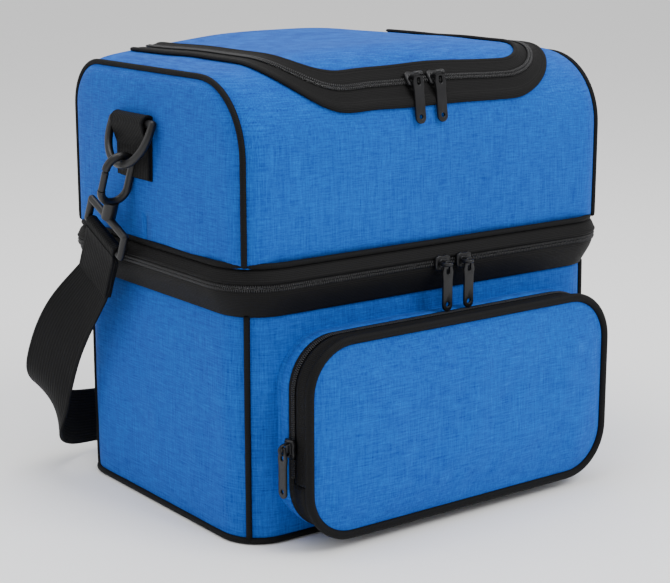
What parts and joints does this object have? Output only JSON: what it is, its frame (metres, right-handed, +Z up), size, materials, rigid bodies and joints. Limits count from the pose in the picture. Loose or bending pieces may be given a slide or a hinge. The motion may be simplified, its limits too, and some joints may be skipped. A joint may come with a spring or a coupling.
{
  "type": "insulated cooler bag",
  "caption": "Soft insulated two-compartment lunch cooler with a zipped lid, a zipped mid band, a front pocket and a shoulder strap on snap hooks.",
  "frame": {"origin": "centre of the base panel, on the ground", "axes": "+X to the bag's right as seen from the front, -Y towards the front pocket, +Z up"},
  "size_m": [0.3436, 0.2586, 0.29],
  "materials": {
    "hook_metal": "satin black, cast",
    "zip_metal": "satin black",
    "zip_coil": "woven black coil",
    "foam": "closed cell insulation",
    "liner_foil": "heat sealed silver grey lining",
    "webbing": "ribbed black webbing",
    "black_plastic": "moulded black",
    "piping": "black binding over a cord",
    "zip_tape": "black woven tape",
    "shell_fabric": "heather blue woven polyester"
  },
  "bodies": {
    "lower": {"base_panel": "shell_fabric", "base_board": "foam", "base_piping": "piping", "lower_front_panel": "shell_fabric", "lower_back_panel": "shell_fabric", "lower_left_panel": "shell_fabric", "lower_right_panel": "shell_fabric", "lower_corner_piping": "piping", "lower_foam": "foam", "lower_liner": "liner_foil", "mid_zip_tape_lower": "zip_tape", "mid_coil_lower": "zip_coil", "rear_hinge_lower": "zip_tape", "pocket_gusset": "shell_fabric", "pocket_zip_tape_rear": "zip_tape", "pocket_coil_rear": "zip_coil", "pocket_base_strip": "shell_fabric"},
    "pocket_flap": {"pocket_coil_front": "zip_coil", "pocket_zip_tape_front": "zip_tape", "pocket_piping": "piping", "pocket_front_panel": "shell_fabric"},
    "upper": {"mid_coil_upper": "zip_coil", "mid_zip_tape_upper": "zip_tape", "mid_binding": "piping", "rear_hinge_upper": "zip_tape", "upper_wrap_panel": "shell_fabric", "upper_left_panel": "shell_fabric", "upper_right_panel": "shell_fabric", "upper_piping_left": "piping", "upper_piping_right": "piping", "lid_zip_tape_body": "zip_tape", "lid_coil_body": "zip_coil", "upper_foam": "foam", "upper_liner": "liner_foil", "divider_panel": "foam", "ring_tab_left": "webbing", "ring_tab_right": "webbing"},
    "lid": {"lid_panel": "shell_fabric", "lid_zip_tape_lid": "zip_tape", "lid_coil_lid": "zip_coil", "lid_foam": "foam", "lid_liner": "liner_foil"},
    "hooks": {"snap_hook_left": "hook_metal", "snap_hook_right": "hook_metal"},
    "strap": {"strap_webbing": "webbing", "strap_adjuster": "black_plastic"},
    "mid_left_slider": {"mid_left_slider": "zip_metal"},
    "mid_left_pull": {"mid_left_pull": "zip_metal"},
    "mid_right_slider": {"mid_right_slider": "zip_metal"},
    "mid_right_pull": {"mid_right_pull": "zip_metal"},
    "lid_left_slider": {"lid_left_slider": "zip_metal"},
    "lid_left_pull": {"lid_left_pull": "zip_metal"},
    "lid_right_slider": {"lid_right_slider": "zip_metal"},
    "lid_right_pull": {"lid_right_pull": "zip_metal"},
    "pocket_slider": {"pocket_slider": "zip_metal"},
    "pocket_pull": {"pocket_pull": "zip_metal"},
    "d_ring_left": {"d_ring_left": "black_plastic"},
    "hook_gate_left": {"hook_gate_left": "hook_metal"},
    "d_ring_right": {"d_ring_right": "black_plastic"},
    "hook_gate_right": {"hook_gate_right": "hook_metal"}
  },
  "joints": [
    {"name": "upper_open", "type": "hinge", "parent": "lower", "child": "upper", "pos_m": [0, 0.1048, 0.158], "axis": [-1, 0, 0], "range_deg": [0, 90]},
    {"name": "lid_open", "type": "hinge", "parent": "upper", "child": "lid", "pos_m": [0, 0.066, 0.29], "axis": [-1, 0, 0], "range_deg": [0, 105]},
    {"name": "pocket_open", "type": "hinge", "parent": "lower", "child": "pocket_flap", "pos_m": [0, -0.1306, 0.0095], "axis": [1, 0, 0], "range_deg": [0, 75]},
    {"name": "mid_left_slide", "type": "slide", "parent": "upper", "child": "mid_left_slider", "axis": [-1, 0, 0], "range_m": [0, 0.1]},
    {"name": "mid_right_slide", "type": "slide", "parent": "upper", "child": "mid_right_slider", "axis": [1, 0, 0], "range_m": [0, 0.1]},
    {"name": "mid_left_pull_lift", "type": "hinge", "parent": "mid_left_slider", "child": "mid_left_pull", "pos_m": [-0.0025, -0.1145, 0.158], "axis": [-1, 0, 0], "range_deg": [0, 140]},
    {"name": "mid_right_pull_lift", "type": "hinge", "parent": "mid_right_slider", "child": "mid_right_pull", "pos_m": [0.0145, -0.1145, 0.158], "axis": [-1, 0, 0], "range_deg": [0, 140]},
    {"name": "lid_left_slide", "type": "slide", "parent": "lid", "child": "lid_left_slider", "axis": [-1, 0, 0], "range_m": [0, 0.04]},
    {"name": "lid_right_slide", "type": "slide", "parent": "lid", "child": "lid_right_slider", "axis": [1, 0, 0], "range_m": [0, 0.055]},
    {"name": "lid_left_pull_lift", "type": "hinge", "parent": "lid_left_slider", "child": "lid_left_pull", "pos_m": [-0.0155, -0.09943, 0.27264], "axis": [-1, 0, 0], "range_deg": [0, 105]},
    {"name": "lid_right_pull_lift", "type": "hinge", "parent": "lid_right_slider", "child": "lid_right_pull", "pos_m": [0.0015, -0.09943, 0.27264], "axis": [-1, 0, 0], "range_deg": [0, 105]},
    {"name": "pocket_slide", "type": "slide", "parent": "pocket_flap", "child": "pocket_slider", "axis": [0, 0, 1], "range_m": [-0.014, 0.026]},
    {"name": "pocket_pull_lift", "type": "hinge", "parent": "pocket_slider", "child": "pocket_pull", "pos_m": [-0.1265, -0.1154, 0.064], "axis": [0, 1, 0], "range_deg": [0, 120]},
    {"name": "ring_swing_left", "type": "hinge", "parent": "upper", "child": "d_ring_left", "pos_m": [-0.1487, 0.009, 0.244], "axis": [0, -1, 0], "range_deg": [0, 7]},
    {"name": "ring_swing_right", "type": "hinge", "parent": "upper", "child": "d_ring_right", "pos_m": [0.1487, 0.009, 0.244], "axis": [0, 1, 0], "range_deg": [0, 7]},
    {"name": "hooks_swing", "type": "hinge", "parent": "upper", "child": "hooks", "pos_m": [0, 0.009, 0.21816], "axis": [1, 0, 0], "range_deg": [0, 5]},
    {"name": "strap_level", "type": "hinge", "parent": "hooks", "child": "strap", "pos_m": [0, 0.03131, 0.17031], "axis": [1, 0, 0], "range_deg": [0, 90]},
    {"name": "gate_left_press", "type": "hinge", "parent": "hooks", "child": "hook_gate_left", "pos_m": [-0.16711, 0.01635, 0.20239], "axis": [0, 0.9063, 0.4226], "range_deg": [0, 9], "stiffness_Nm_per_rad": 0.01},
    {"name": "gate_right_press", "type": "hinge", "parent": "hooks", "child": "hook_gate_right", "pos_m": [0.16711, 0.01635, 0.20239], "axis": [0, -0.9063, -0.4226], "range_deg": [0, 9], "stiffness_Nm_per_rad": 0.01}
  ],
  "couplings": [
    {"joint": "strap_level", "follows": "upper_open", "ratio": 1}
  ]
}
